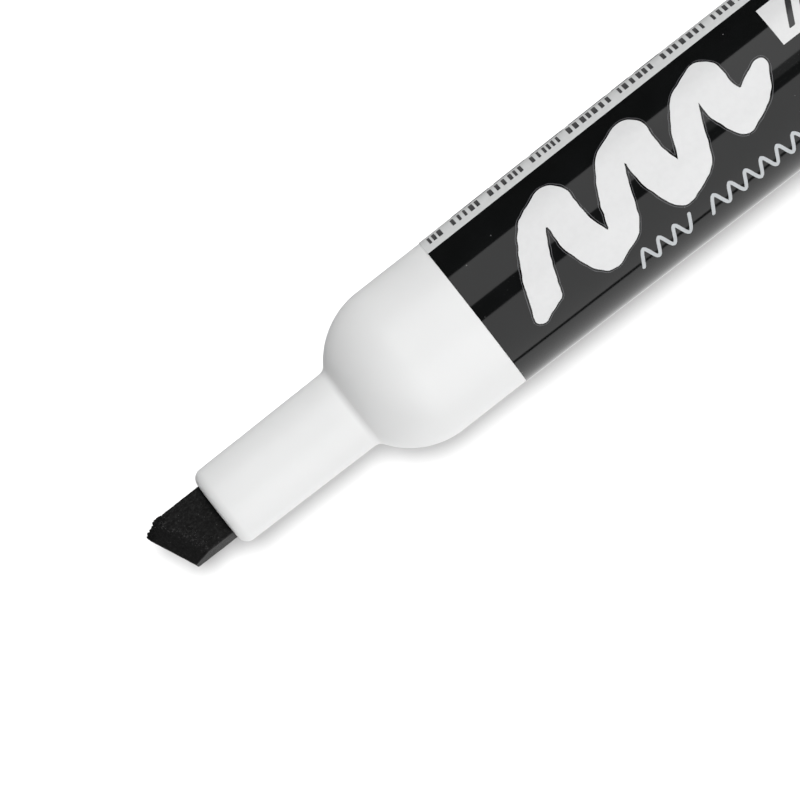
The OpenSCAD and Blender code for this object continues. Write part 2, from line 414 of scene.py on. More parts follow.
def printed_ink(name, colour, rough_low, rough_high):
    """Ink on film: slight patches in its gloss and its coverage."""
    material, shader, tree = new_material(name)
    cover = noise_of(tree, 1500, detail=5)
    worn = tuple(c * 0.975 for c in colour)
    tree.links.new(ramp_of(tree, cover, ((0.35, worn), (0.6, colour))), shader.inputs["Base Color"])
    patches = noise_of(tree, 420, detail=4)
    tree.links.new(range_of(tree, patches, rough_low, rough_high), shader.inputs["Roughness"])
    bump_of(tree, shader, noise_of(tree, 2400, detail=3), 0.000002)
    return material


def glossy_black_film():
    """Black print under a gloss coat, with dust, faint smears and a slow ripple."""
    material, shader, tree = new_material("glossy_black_film", IOR=1.5)
    dust = specks_of(tree, 480, 0.03, 3.0)
    drift = noise_of(tree, 300)
    black = ramp_of(tree, drift, ((0.3, (0.0046, 0.005, 0.005)), (0.7, (0.006, 0.0064, 0.0066))))
    tree.links.new(mixed(tree, dust, black, (0.12, 0.12, 0.12)), shader.inputs["Base Color"])
    smears = noise_of(tree, 150, detail=6, roughness=0.65, stretch=(0.25, 1, 1))
    tree.links.new(range_of(tree, smears, 0.04, 0.12), shader.inputs["Roughness"])
    bump_of(tree, shader, noise_of(tree, 240, detail=2, stretch=(0.3, 1, 1)), 0.000006)
    return material


def behind_edge(tree):
    """Distance in metres behind the nib's slanted writing edge, with a little noise."""
    along = distance_along(tree, (math.cos(NIB_SLANT), math.sin(NIB_SLANT), 0))
    wobble = range_of(tree, noise_of(tree, 1300, detail=3), -0.0003, 0.0003)
    edge = (box_mm("nib")[0].x * math.cos(NIB_SLANT) + NIB_CORNER_Y * math.sin(NIB_SLANT)) * MM
    return math_of(tree, "SUBTRACT", math_of(tree, "ADD", along, wobble), edge)


def toward_short_side(tree):
    """Distance in metres from the nib's middle toward its short side."""
    across = distance_along(tree, (0, -math.cos(NIB_ROLL), math.sin(NIB_ROLL)))
    middle = (AXIS_Z * math.sin(NIB_ROLL) - NIB_SIDE * math.cos(NIB_ROLL)) * MM
    return math_of(tree, "SUBTRACT", across, middle)


def greys(*stops):
    """Colour ramp stops in grey, from (position, brightness) pairs."""
    return tuple((position, (grey, grey, grey)) for position, grey in stops)


def nib_felt():
    """Ink-soaked bonded felt: short fibres, a bevel painted darker as painted shade, pale specks along its
    edge that are partly a painted highlight, painted glints all over, a sleek side.
    """
    material, shader, tree = new_material("nib_felt", Specular_IOR_Level=0.2)
    fibres = noise_of(tree, 4300, detail=8, roughness=0.8, stretch=(0.75, 1, 1))
    face = ramp_of(tree, fibres, greys((0.36, 0.003), (0.5, 0.0095), (0.68, 0.028)))
    # The bevel's colour is painted darker than the face's: painted shade, since the bevel tilts away from the
    # overhead light
    bevel = ramp_of(tree, fibres, greys((0.36, 0.0025), (0.5, 0.0065), (0.68, 0.021)))
    behind = behind_edge(tree)
    on_face = step_of(tree, behind, 0.94 * NIB_BEVEL * MM, 1.08 * NIB_BEVEL * MM)
    black = mixed(tree, on_face, bevel, face)

    # Pale specks in a band just behind the bevel, partly pale fibre ends and partly a painted highlight along
    # the lit ridge, and pale dots all over that are painted glints
    past_bevel = step_of(tree, behind, (NIB_BEVEL - 0.35) * MM, (NIB_BEVEL + 0.75) * MM)
    band = ramp_of(tree, past_bevel, greys((0.0, 0), (0.3, 1), (0.55, 1), (1.0, 0)))
    ridge_highlight_and_fibre_specks = math_of(tree, "MULTIPLY", band, specks_of(tree, 3600, 0.2, 5.0))
    speckled = mixed(tree, ridge_highlight_and_fibre_specks, black, (0.045, 0.045, 0.045))
    painted_glints = specks_of(tree, 1900, 0.06, 1.0)
    tree.links.new(mixed(tree, painted_glints, speckled, (0.07, 0.07, 0.07)), shader.inputs["Base Color"])

    # The short side is cut smoother than the rest
    sleek = step_of(tree, toward_short_side(tree), (NIB_HALF_W - 0.14) * MM, (NIB_HALF_W - 0.04) * MM)
    gloss = math_of(tree, "MULTIPLY", range_of(tree, fibres, 0.75, 0.98), range_of(tree, sleek, 1.0, 0.68))
    tree.links.new(gloss, shader.inputs["Roughness"])
    bump_of(tree, shader, fibres, 0.00006)
    return material


def dry_fibre():
    """Loose felt fibres, a little paler than the nib."""
    material, shader, tree = new_material("dry_fibre", Specular_IOR_Level=0.4)
    along = noise_of(tree, 3000, detail=3)
    tree.links.new(ramp_of(tree, along, greys((0.3, 0.012), (0.7, 0.06))), shader.inputs["Base Color"])
    tree.links.new(range_of(tree, along, 0.5, 0.8), shader.inputs["Roughness"])
    return material


def ink_fibre():
    """Bundled fibre of the reservoir, dark with ink."""
    material, shader, tree = new_material("ink_fibre")
    strands = noise_of(tree, 3600, detail=6, stretch=(0.03, 1, 1))
    tree.links.new(ramp_of(tree, strands, ((0.3, (0.01, 0.01, 0.012)), (0.75, (0.05, 0.05, 0.06)))),
                   shader.inputs["Base Color"])
    tree.links.new(range_of(tree, strands, 0.55, 0.9), shader.inputs["Roughness"])
    bump_of(tree, shader, strands, 0.00008)
    return material


def floor_white():
    """Pale studio floor that gives a little light of its own, so that it stays white."""
    material, shader, tree = new_material("floor_white", Emission_Strength=0.37, Roughness=0.9)
    shader.inputs["Emission Color"].default_value = (1, 1, 1, 1)
    mottle = noise_of(tree, 30)
    tree.links.new(ramp_of(tree, mottle, greys((0.2, 0.245), (0.8, 0.255))), shader.inputs["Base Color"])
    return material


def backdrop_white():
    """Plain bright backdrop."""
    material, shader, tree = new_material("backdrop_white", Emission_Strength=1.1)
    shader.inputs["Emission Color"].default_value = (1, 1, 1, 1)
    return material


WHITE_PLASTIC = moulded_plastic("white_plastic", (0.762, 0.766, 0.765), (0.79, 0.794, 0.793), 0.26, 0.36,
                                0.000004)
BLACK_PLASTIC = moulded_plastic("black_plastic", (0.009, 0.009, 0.0095), (0.015, 0.015, 0.016), 0.3, 0.42,
                                0.00001)
LINER_PLASTIC = moulded_plastic("liner_plastic", (0.66, 0.66, 0.62), (0.74, 0.74, 0.7), 0.4, 0.5, 0.000006)
SLEEVE_FILM = moulded_plastic("sleeve_film", (0.6, 0.63, 0.66), (0.72, 0.75, 0.78), 0.12, 0.2, 0.000004)
FILM_WHITE = printed_ink("film_white", (0.66, 0.668, 0.668), 0.14, 0.22)
BLACK_FILM = glossy_black_film()
PRINT_WHITE = printed_ink("print_white", (0.7, 0.702, 0.705), 0.2, 0.3)
PRINT_PALE = printed_ink("print_pale", (0.5, 0.52, 0.535), 0.15, 0.25)
PRINT_GREY = printed_ink("print_grey", (0.09, 0.09, 0.095), 0.15, 0.25)
PRINT_DARK = printed_ink("print_dark", (0.035, 0.035, 0.037), 0.15, 0.25)
NIB_FELT = nib_felt()
DRY_FIBRE = dry_fibre()
INK_FIBRE = ink_fibre()


# ---------------------------------------------------------------- barrel

def barrel_radius(x):
    """Outer radius of the barrel at a place behind the dome."""
    share = min(max((x - LABEL_X) / DRAFT_LEN, 0), 1)
    return SEAT_R + (BARREL_R - SEAT_R) * share


def barrel_outline():
    """Closed outline of the moulding: outside from the nozzle to the rear, then back along the bore."""
    rim = NOZZLE_TIP_R - NOZZLE_EDGE
    outline = [(NOZZLE_X, 0)]
    outline += arc(NOZZLE_X + NOZZLE_EDGE, rim, NOZZLE_EDGE, 180, 90, 14)
    # Fillet between the nozzle and the dome
    reach = SEAT_R + SHOULDER_FILLET
    fillet_r = NOZZLE_R + SHOULDER_FILLET
    fillet_x = DOME_X - math.sqrt(reach ** 2 - fillet_r ** 2)
    slope = math.degrees(math.asin(fillet_r / reach))
    outline += arc(fillet_x, fillet_r, SHOULDER_FILLET, -90, -slope, 10)
    outline += arc(DOME_X, 0, SEAT_R, 180 - slope, 90, 40)[1:]
    outline += [(LABEL_X, SEAT_R), (LABEL_X + DRAFT_LEN, BARREL_R)]
    outline += arc(BARREL_END_X - EDGE, BARREL_R - EDGE, EDGE, 90, 0, 4)
    outline += [(BARREL_END_X, BORE_R)]
    inner_slope = math.degrees(math.asin(NIB_BORE_R / BORE_R))
    outline += arc(DOME_X, 0, BORE_R, 90, 180 - inner_slope, 16)
    outline += [(NOZZLE_X + LIP_LEN, NIB_BORE_R), (NOZZLE_X + LIP_LEN, 0)]
    return outline


def slot_cutter():
    """Prism that cuts the nib's slot through the nozzle's lip."""
    bm = bmesh.new()
    ends = []
    for x in (NOZZLE_X - 1, NOZZLE_X + LIP_LEN + 1):
        ring = []
        for across, up in rounded_outline(SLOT_W, SLOT_T, SLOT_ROUND):
            y, z = rolled(across, up)
            ring.append(bm.verts.new((x, y + NIB_SIDE, AXIS_Z + z)))
        ends.append(ring)
    bm.faces.new(ends[0])
    bm.faces.new(ends[1])
    for i in range(len(ends[0])):
        j = (i + 1) % len(ends[0])
        bm.faces.new((ends[0][i], ends[0][j], ends[1][j], ends[1][i]))
    return to_object("slot_cutter", bm, WHITE_PLASTIC)


def rolled(across, up):
    """(y, z) of a point given across and up in the nib's own turned frame, with across toward +Y."""
    c = math.cos(NIB_ROLL)
    s = math.sin(NIB_ROLL)
    return across * c + up * s, up * c - across * s


def make_barrel():
    """White moulding with the nib's slot cut through its nozzle."""
    barrel = to_object("barrel_moulding", turned(barrel_outline()), WHITE_PLASTIC, MOULDING_SMOOTH)
    cutter = slot_cutter()
    cut = barrel.modifiers.new("slot", "BOOLEAN")
    cut.object = cutter
    cut.solver = "EXACT"
    applied(barrel).set_sharp_from_angle(angle=math.radians(MOULDING_SMOOTH))
    bpy.data.objects.remove(cutter)
    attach(barrel, "marker")
    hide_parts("barrel")


# ---------------------------------------------------------------- label and its print

def on_label(u, v, lift):
    """Point on the label at (u, v), lifted from the barrel's surface."""
    x = LABEL_X + u
    return ring_point(x, barrel_radius(x) + lift, v / PRINT_R)


def slab(name, places, cells, low, high, material):
    """Thin closed piece on the label from flat cells. places are (u, v) points, low and high its lifts."""
    bm = bmesh.new()
    top = [bm.verts.new(on_label(u, v, high)) for u, v in places]
    base = [bm.verts.new(on_label(u, v, low)) for u, v in places]
    walls = {}
    for cell in cells:
        bm.faces.new([top[i] for i in cell])
        bm.faces.new([base[i] for i in reversed(cell)])
        for i, j in zip(cell, cell[1:] + cell[:1]):
            if (j, i) in walls:
                del walls[(j, i)]
            else:
                walls[(i, j)] = True
    for i, j in walls:
        bm.faces.new((top[j], top[i], base[i], base[j]))
    piece = to_object(name, bm, material)
    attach(piece, "marker")
    return piece


def patch(name, u_stops, v_from, v_to, low, high, material):
    """Rectangle of label from v_from to v_to, with grid lines at u_stops."""
    rows = max(2, math.ceil((v_to - v_from) / FILM_CELL))
    places = [(u, v_from + (v_to - v_from) * j / rows) for u in u_stops for j in range(rows + 1)]
    cells = []
    for i in range(len(u_stops) - 1):
        for j in range(rows):
            a = i * (rows + 1) + j
            cells.append([a, a + rows + 1, a + rows + 2, a + 1])
    return slab(name, places, cells, low, high, material)


def inked(name, field, u_span, v_span, step, low, high, material):
    """Print whose shape is where field(u, v) is below 0. Edges are cut across the cells of a fine grid."""
    us = np.arange(u_span[0], u_span[1] + step, step)
    vs = np.arange(v_span[0], v_span[1] + step, step)
    grid_u, grid_v = np.meshgrid(us, vs, indexing="ij")
    values = field(grid_u, grid_v)
    places, index, cells = [], {}, []

    def place(key, u, v):
        if key not in index:
            index[key] = len(places)
            places.append((u, v))
        return index[key]

    def crossing(a, b):
        if b < a:
            a, b = b, a
        share = values[a] / (values[a] - values[b])
        share = min(max(share, 0.02), 0.98)
        u = us[a[0]] + (us[b[0]] - us[a[0]]) * share
        v = vs[a[1]] + (vs[b[1]] - vs[a[1]]) * share
        return place((a, b), u, v)

    inside = values < 0
    touched = inside[:-1, :-1] | inside[1:, :-1] | inside[1:, 1:] | inside[:-1, 1:]
    for i, j in np.argwhere(touched).tolist():
        corners = [(i, j), (i + 1, j), (i + 1, j + 1), (i, j + 1)]
        cell = []
        for a, b in zip(corners, corners[1:] + corners[:1]):
            if inside[a]:
                cell.append(place(a, us[a[0]], vs[a[1]]))
            if inside[a] != inside[b]:
                cell.append(crossing(a, b))
        cells.append(cell)
    return slab(name, places, cells, low, high, material)


def spline_points(points, steps):
    """Points along a smooth curve through the given ones."""
    last = len(points) - 1
    samples = []
    for i in range(last):
        p0, p1, p2, p3 = (Vector(points[min(max(k, 0), last)]) for k in range(i - 1, i + 3))
        for s in range(steps):
            t = s / steps
            samples.append(0.5 * (2 * p1 + (p2 - p0) * t + (2 * p0 - 5 * p1 + 4 * p2 - p3) * t ** 2
                                  + (3 * p1 - p0 - 3 * p2 + p3) * t ** 3))
    return samples


def chisel_field(points, width, thickness, lean):
    """Distance field of a stroke of a chisel tip, which leans by an angle from the u axis toward -v."""
    along = np.array((math.cos(math.radians(lean)), -math.sin(math.radians(lean))))
    reach = (width - thickness) / 2
    samples = spline_points(points, 18)

    def field(u, v):
        nearest = np.full(u.shape, 1e3)
        for su, sv in samples:
            du, dv = u - su, v - sv
            slide = np.clip(du * along[0] + dv * along[1], -reach, reach)
            away = np.hypot(du - slide * along[0], dv - slide * along[1])
            nearest = np.minimum(nearest, away - thickness / 2)
        return nearest

    return field


def line_field(lines, width):
    """Distance field of thin smooth lines, each a list of points."""
    pairs = []
    for points in lines:
        samples = spline_points(points, 6) + [Vector(points[-1])]
        pairs += list(zip(samples, samples[1:]))

    def field(u, v):
        nearest = np.full(u.shape, 1e3)
        for start, end in pairs:
            du, dv = end - start
            share = np.clip(((u - start.x) * du + (v - start.y) * dv) / (du * du + dv * dv), 0, 1)
            nearest = np.minimum(nearest, np.hypot(u - start.x - share * du, v - start.y - share * dv))
        return nearest - width / 2

    return field


def roughened(field, size, wave):
    """A field with its edge made uneven by noise of that size and wavelength."""
    layer = 7.3

    def rough(u, v):
        wobble = np.array([noise.noise((a / wave, b / wave, layer)) for a, b in zip(u.ravel(), v.ravel())])
        return field(u, v) - size * wobble.reshape(u.shape)

    return rough


def outlined(field, gap, width):
    """A thin line that follows a field's edge at a gap outside it."""
    return lambda u, v: np.abs(field(u, v) - gap) - width / 2


def bars_field(bars, height, v_centre, radius, lean=0.0):
    """Distance field of a row of bars with round corners, each (from, to) along u, leaning forward with v."""
    def field(u, v):
        u = u - lean * (v - v_centre)
        nearest = np.full(u.shape, 1e3)
        for start, end in bars:
            du = np.abs(u - (start + end) / 2) - (end - start) / 2 + radius
            dv = np.abs(v - v_centre) - height / 2 + radius
            outside = np.hypot(np.maximum(du, 0), np.maximum(dv, 0)) + np.minimum(np.maximum(du, dv), 0)
            nearest = np.minimum(nearest, outside - radius)
        return nearest

    return field


def word_bars(seed, start, end, short, long, gap):
    """Bars of uneven length along a row, standing in for a line of small print."""
    draw = random.Random(seed)
    bars, u = [], start
    while u < end - short:
        length = min(draw.uniform(short, long), end - u)
        bars.append((u, u + length))
        u += length + gap
    return bars


def tick_bars(seed, start, end):
    """Short upright ticks in groups along a row, standing in for a line of small print."""
    draw = random.Random(seed)
    bars, u = [], start
    while u < end:
        for _ in range(draw.randint(3, 8)):
            width = draw.choice((0.3, 0.4, 0.5))
            bars.append((u, u + width))
            u += width + draw.choice((0.24, 0.3, 0.42))
        u += 0.8
    return bars


def waves(words, v_centre, height, pitch):
    """Wavy lines, each from start to end along u, standing in for a line of large thin print."""
    lines = []
    for start, end in words:
        count = max(2, round((end - start) / pitch * 2))
        lines.append([(start + (end - start) * i / count, v_centre + height / 2 * (1 if i % 2 == 0 else -1))
                      for i in range(count + 1)])
    return lines


def arc_at(degrees):
    """v of an angle from the top toward -Y."""
    return math.radians(degrees) * PRINT_R


def make_film():
    """White film with a gap at its seam, and the black panel printed on it."""
    stops = [FILM_START, *FILM_STOPS, LABEL_END_X - LABEL_X]
    start = arc_at(SEAM_ANGLE) + SEAM_GAP / 2
    end = arc_at(SEAM_ANGLE + 360) - SEAM_GAP / 2
    film = patch("label_film", stops, start, end, 0.0, FILM, FILM_WHITE)
    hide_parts("barrel_label")
    start = arc_at(PANEL_FROM)
    end = arc_at(PANEL_TO)
    patch("label_black_panel", stops, start, end, FILM - PANEL_LIFT, FILM + PANEL_LIFT, BLACK_FILM)


def make_scribble():
    """A chisel-tip scribble in place of the name, with a faint raised line round it."""
    stroke = [(6.0, 4.3), (7.6, 0.0), (10.6, -4.4), (12.4, -3.4), (12.6, 0.4), (14.2, 4.0), (16.2, 3.4),
              (18.2, -1.4), (20.6, -4.9), (22.3, -3.9), (22.4, -0.4), (23.8, 3.3), (25.6, 2.7), (27.6, -1.8),
              (29.9, -4.9), (31.5, -4.0), (31.7, -1.2), (33.0, 1.5), (34.4, 0.8), (35.6, -1.2)]
    scribble = roughened(chisel_field(stroke, width=4.0, thickness=1.5, lean=24), size=0.1, wave=0.8)
    keyline = outlined(scribble, gap=0.2, width=0.07)
    span = ((3, 39), (-8, 8))
    inked("label_scribble", scribble, *span, 0.15, FILM, FILM + 0.035, PRINT_WHITE)
    inked("label_scribble_keyline", keyline, *span, 0.07, FILM, FILM + 0.02, PRINT_GREY)


def make_block():
    """White block printed on the black panel."""
    patch("label_block", [39.75, 48, 57.5], arc_at(-43.8), arc_at(-12), FILM, FILM + 0.03, PRINT_WHITE)


def make_small_print():
    """Bars on the block, ticks on the white strip and waves on the panel, in place of lettering."""
    block_v = arc_at(-27.5)
    strip_v = arc_at(-71)
    wave_v = arc_at(45)
    slanted = [(41.9 + 1.6 * i, 42.6 + 1.6 * i) for i in range(9)]
    bars = bars_field(slanted, height=2.9, v_centre=block_v, radius=0.1, lean=-0.5)
    ticks = bars_field(tick_bars(2, 0.7, 57), height=1.9, v_centre=strip_v, radius=0.04)
    words = ((15.8, 22.4), (24.4, 36.2), (38.2, 46.4), (48.6, 57.4))
    wave = line_field(waves(words, wave_v, height=2.1, pitch=1.9), width=0.38)
    # Name, shape, v of the row, reach to each side of it, grid step, height and ink
    rows = (
        ("label_block_bars", bars, block_v, 1.7, 0.1, 0.045, PRINT_DARK),
        ("label_strip_ticks", ticks, strip_v, 1.1, 0.08, 0.015, PRINT_DARK),
        ("label_pale_wave", wave, wave_v, 1.5, 0.09, 0.03, PRINT_PALE),
    )
    for name, field, centre, reach, step, lift, material in rows:
        inked(name, field, (0, 60), (centre - reach, centre + reach), step, FILM, FILM + lift, material)


def make_side_bars():
    """Rows of bars low on the white side, in place of a paragraph of small print."""
    first_angle = -86
    row_angle = 13
    reach = 0.6
    for row in range(5):
        centre = arc_at(first_angle - row_angle * row)
        words = word_bars(20 + row, 4, 30 + 5 * (row % 3), short=1.2, long=5.0, gap=0.7)
        bars = bars_field(words, height=0.7, v_centre=centre, radius=0.15)
        span = ((3, 50), (centre - reach, centre + reach))
        inked(f"label_small_bars_{row + 1}", bars, *span, 0.14, FILM, FILM + 0.02, PRINT_DARK)


def make_label():
    """White film with its black panel, and the print on it."""
    make_film()
    make_scribble()
    make_block()
    make_small_print()
    make_side_bars()


# ---------------------------------------------------------------- nib

def half_nib(name, cut_x, front):
    """The CAD nib's part in front of a plane across the axis, or behind it, closed at the plane."""
    bm = bmesh.new()
    bm.from_mesh(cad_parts["nib"].data)
    bmesh.ops.remove_doubles(bm, verts=bm.verts, dist=1e-7)
    bmesh.ops.bisect_plane(bm, geom=bm.verts[:] + bm.edges[:] + bm.faces[:], plane_co=(cut_x * MM, 0, 0),
                           plane_no=(1, 0, 0), clear_outer=front, clear_inner=not front)
    bmesh.ops.holes_fill(bm, edges=[e for e in bm.edges if e.is_boundary])
    bmesh.ops.scale(bm, vec=(1 / MM, 1 / MM, 1 / MM), verts=bm.verts)
    return to_object(name, bm, NIB_FELT)


def corner_y(behind):
    """Place across the nib of its long corner, at a distance behind the tip."""
    share = min(1, behind / NIB_CORNER_LEN)
    return NIB_CORNER_Y + (NIB_HALF_W - NIB_CORNER_Y) * share


def nib_shift(point, behind):
    """How far the felt's skin is moved at a point: fine fibres all over, and a ragged long corner."""
    corner_reach = 0.75
    ragged_end = 3.1
    fine = noise.noise_vector(Vector((point.x * 3, point.y * 6, point.z * 6))) * 0.014
    lumps = noise.noise_vector(point / 0.9) * 0.022
    near = max(0, 1 - abs(point.y - corner_y(behind)) / corner_reach)
    corner = near * min(1, max(0, ragged_end - behind))
    ragged = noise.noise_vector(point / 0.34) * 0.2 + noise.noise_vector(point / 0.15) * 0.11
    # Kept from reaching past the tip
    ragged.x = abs(ragged.x)
    return fine + lumps + ragged * min(1, 1.6 * corner)


def make_nib():
    """Felt nib: the CAD shape with its visible end remeshed finely and given a fibrous skin."""
    nib_x = box_mm("nib")[0].x
    lip_x = NOZZLE_X + LIP_LEN
    cut_x = lip_x + NIB_SPLIT
    overlap = 0.2
    nib = half_nib("nib_chisel", cut_x + overlap, True)
    remesh = nib.modifiers.new("felt", "REMESH")
    remesh.mode = "VOXEL"
    remesh.voxel_size = FELT_VOXEL * MM
    mesh = applied(nib)
    noise.seed_set(FELT_SEED)
    for vertex in mesh.vertices:
        point = vertex.co / MM
        side = NIB_SIDE * min(1, max(0, (cut_x - point.x) / (cut_x - lip_x)))
        vertex.co = (point + Vector((0, side, 0)) + nib_shift(point, point.x - nib_x)) * MM
    mesh.shade_smooth()
    rear = half_nib("nib_rear", cut_x, False)
    for piece in (nib, rear):
        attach(piece, "marker")
    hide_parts("nib")


def add_corner_fibres(curve, draw):
    """Short loose ends along the ragged corner."""
    nib_x = box_mm("nib")[0].x
    for _ in range(14):
        behind = draw.uniform(0.3, 2.6)
        start = Vector((nib_x + behind, corner_y(behind), AXIS_Z + draw.uniform(-0.6, 1.2)))
        out = Vector((draw.uniform(-0.5, 0.1), draw.uniform(0.4, 1.0), draw.uniform(-0.3, 0.5))).normalized()
        reach = draw.uniform(0.06, 0.14)
        bend = Vector([draw.uniform(-0.4, 0.4) for _ in range(3)]) * reach
        add_strand(curve, [start - out * 0.15, start + out * reach * 0.5, start + out * reach + bend])


def add_face_loops(curve, draw):
    """Small loops on the upper broad face: half in line behind the bevel, half gathered near the middle."""
    nib_x = box_mm("nib")[0].x
    knots = 5
    for k in range(44):
        in_line = k % 2 == 0
        across = draw.uniform(-2.3, 2.5) if in_line else draw.gauss(-0.7, 0.7)
        behind = NIB_BEVEL / math.cos(NIB_SLANT) + (NIB_CORNER_Y - across) * math.tan(NIB_SLANT)
        behind += draw.uniform(0, 0.35) if in_line else draw.uniform(0, 1.5)
        y, z = rolled(across, NIB_HALF_T - 0.02)
        centre = Vector((nib_x + behind, y + NIB_SIDE, AXIS_Z + z))
        radius = draw.uniform(0.04, 0.13)
        turn = draw.uniform(0, 6)
        sweep = draw.uniform(1.5, 4.5)
        points = []
        for i in range(knots + 1):
            angle = turn + sweep * i / knots
            height = 0.04 * math.sin(math.pi * i / knots)
            points.append(centre + Vector((radius * math.cos(angle), radius * math.sin(angle), height)))
        add_strand(curve, points)


def make_fibres():
    """Loose fibres along the nib's ragged corner and behind its bevel."""
    draw = random.Random(4)
    curve = bpy.data.curves.new("nib_fibres", "CURVE")
    curve.dimensions = "3D"
    curve.bevel_depth = FIBRE_R * MM
    curve.bevel_resolution = 2
    curve.use_fill_caps = True
    curve.materials.append(DRY_FIBRE)
    add_corner_fibres(curve, draw)
    add_face_loops(curve, draw)
    fibres = bpy.data.objects.new("nib_fibres", curve)
    bpy.context.scene.collection.objects.link(fibres)
    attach(fibres, "marker")


def add_strand(curve, points):
    """Smooth strand through points given in millimetres."""
    spline = curve.splines.new("BEZIER")
    spline.bezier_points.add(len(points) - 1)
    for knot, point in zip(spline.bezier_points, points):
        knot.co = point * MM
        knot.handle_left_type = "AUTO"
        knot.handle_right_type = "AUTO"


# ---------------------------------------------------------------- plug and cap

def make_plug():
    """Black plug: skirt, flange and the spigot that the cap posts on, as one turned cup."""
    flange_x = BARREL_END_X
    spigot_x = flange_x + FLANGE_LEN
    dimple_x = PLUG_END_X - DIMPLE_DEPTH
    hollow_x = PLUG_END_X - PLUG_END_WALL
    outline = [(PLUG_X, PLUG_HOLLOW_R)]
    outline += arc(PLUG_X + SKIRT_ROUND, SKIRT_R - SKIRT_ROUND, SKIRT_ROUND, 180, 90, 5)
    outline += [(flange_x, SKIRT_R)]
    outline += arc(flange_x + EDGE, BARREL_R - EDGE, EDGE, 180, 90, 4)
    outline += arc(spigot_x - EDGE, BARREL_R - EDGE, EDGE, 90, 0, 4)
    outline += [(spigot_x, SEAT_R)]
    outline += arc(PLUG_END_X - PLUG_ROUND, SEAT_R - PLUG_ROUND, PLUG_ROUND, 90, 0, 10)
    outline += [(PLUG_END_X, DIMPLE_R), (dimple_x, DIMPLE_FLOOR_R), (dimple_x, 0)]
    outline += [(hollow_x, 0), (hollow_x, PLUG_HOLLOW_R)]
    plug = to_object("rear_plug_cup", turned(outline), BLACK_PLASTIC)
    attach(plug, "marker")
    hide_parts("rear_plug")


def flute_angles():
    """Angles round the cap, close together across each flute."""
    half = math.sqrt(FLUTE_R ** 2 - (FLUTE_R - FLUTE_DEPTH) ** 2) / CAP_GRIP_R
    shares = (-1, -0.94, -0.8, -0.6, -0.3, 0, 0.3, 0.6, 0.8, 0.94, 1)
    angles = []
    for i in range(FLUTES):
        angles += [i * FLUTE_PITCH + half * share for share in shares]
        angles.append((i + 0.5) * FLUTE_PITCH)
    return angles


def flute_depth(x, r, angle):
    """Depth of the grip flutes below the cap's wall, with round ends. There are none in the bore."""
    bore_margin = 0.2
    if r < CAP_BORE_R + bore_margin:
        return 0
    across = (angle + FLUTE_PITCH / 2) % FLUTE_PITCH - FLUTE_PITCH / 2
    along = max(FLUTE_FROM - (x - CAP_X), (x - CAP_X) - FLUTE_TO, 0)
    inside = FLUTE_R ** 2 - (across * r) ** 2 - along ** 2
    if inside <= 0:
        return 0
    return max(0, math.sqrt(inside) - (FLUTE_R - FLUTE_DEPTH))


def cap_end_outline():
    """Outline over the cap's end: the rounded edge, the ring groove and the gate mark."""
    groove_x = CAP_END_X - GROOVE_DEPTH
    gate_x = CAP_END_X - GATE_DEPTH
    outline = arc(CAP_END_X - CAP_END_ROUND, CAP_END_R - CAP_END_ROUND, CAP_END_ROUND, 90, 0, 14)
    outline += [(CAP_END_X, GROOVE_R + GROOVE_HALF), (groove_x, GROOVE_R + GROOVE_FLOOR_HALF)]
    outline += [(groove_x, GROOVE_R - GROOVE_FLOOR_HALF), (CAP_END_X, GROOVE_R - GROOVE_HALF)]
    outline += [(CAP_END_X, GATE_R), (gate_x, GATE_FLOOR_R), (gate_x, 0)]
    return outline


def cap_outline():
    """Closed outline of the cap from its mouth, outside first, with closer rows at the flutes' ends."""
    step_x = CAP_X + CAP_BAND_LEN
    grip_x = step_x + CAP_STEP_LEN
    last_x = CAP_END_X - CAP_END_ROUND

    def wall(x):
        return CAP_GRIP_R + (CAP_END_R - CAP_GRIP_R) * (x - grip_x) / (last_x - grip_x)

    outline = arc(CAP_X + CAP_MOUTH_ROUND, CAP_MOUTH_R - CAP_MOUTH_ROUND, CAP_MOUTH_ROUND, 180, 90, 6)
    outline += [(step_x - CAP_STEP_EDGE, CAP_MOUTH_R), (step_x, CAP_MOUTH_R - CAP_STEP_DROP)]
    outline += [(grip_x - CAP_STEP_EDGE, CAP_GRIP_R + CAP_STEP_DROP)]
    shares = (0, 0.15, 0.3, 0.45, 0.6, 0.75, 0.9, 1.0)
    stops = [FLUTE_FROM - FLUTE_R * share for share in reversed(shares)]
    stops += [FLUTE_FROM + (FLUTE_TO - FLUTE_FROM) * i / 10 for i in range(1, 10)]
    stops += [FLUTE_TO + FLUTE_R * share for share in shares]
    outline += [(CAP_X + stop, wall(CAP_X + stop)) for stop in stops]
    outline += cap_end_outline()
    outline += [(CAP_FLOOR_X, 0), (CAP_FLOOR_X, CAP_DEEP_R), (CAP_X + CAP_BORE_LEN + 1, CAP_NARROW_R)]
    outline += [(CAP_X + CAP_BORE_LEN, CAP_BORE_R), (CAP_X + CAP_MOUTH_ROUND, CAP_BORE_R)]
    return outline


def make_cap_shell():
    """Ribbed outer shell of the cap."""
    shell_mesh = turned(cap_outline(), flute_angles(), flute_depth)
    shell = to_object("cap_shell_ribbed", shell_mesh, BLACK_PLASTIC, CAP_SMOOTH)
    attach(shell, "cap")
    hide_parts("cap_shell")


def make_socket():
    """Ring inside the cap that holds the liner."""
    mouth_x = CAP_FLOOR_X - SOCKET_LEN
    sunk_x = CAP_FLOOR_X + SOCKET_SINK
    outer = SOCKET_R + SOCKET_WALL
    outline = [(mouth_x, SOCKET_R + SOCKET_EDGE), (mouth_x, outer - SOCKET_EDGE)]
    outline += [(mouth_x + SOCKET_EDGE, outer), (sunk_x, outer)]
    outline += [(sunk_x, SOCKET_R), (mouth_x + SOCKET_EDGE, SOCKET_R)]
    socket = to_object("cap_socket_ring", turned(outline), BLACK_PLASTIC)
    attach(socket, "cap")


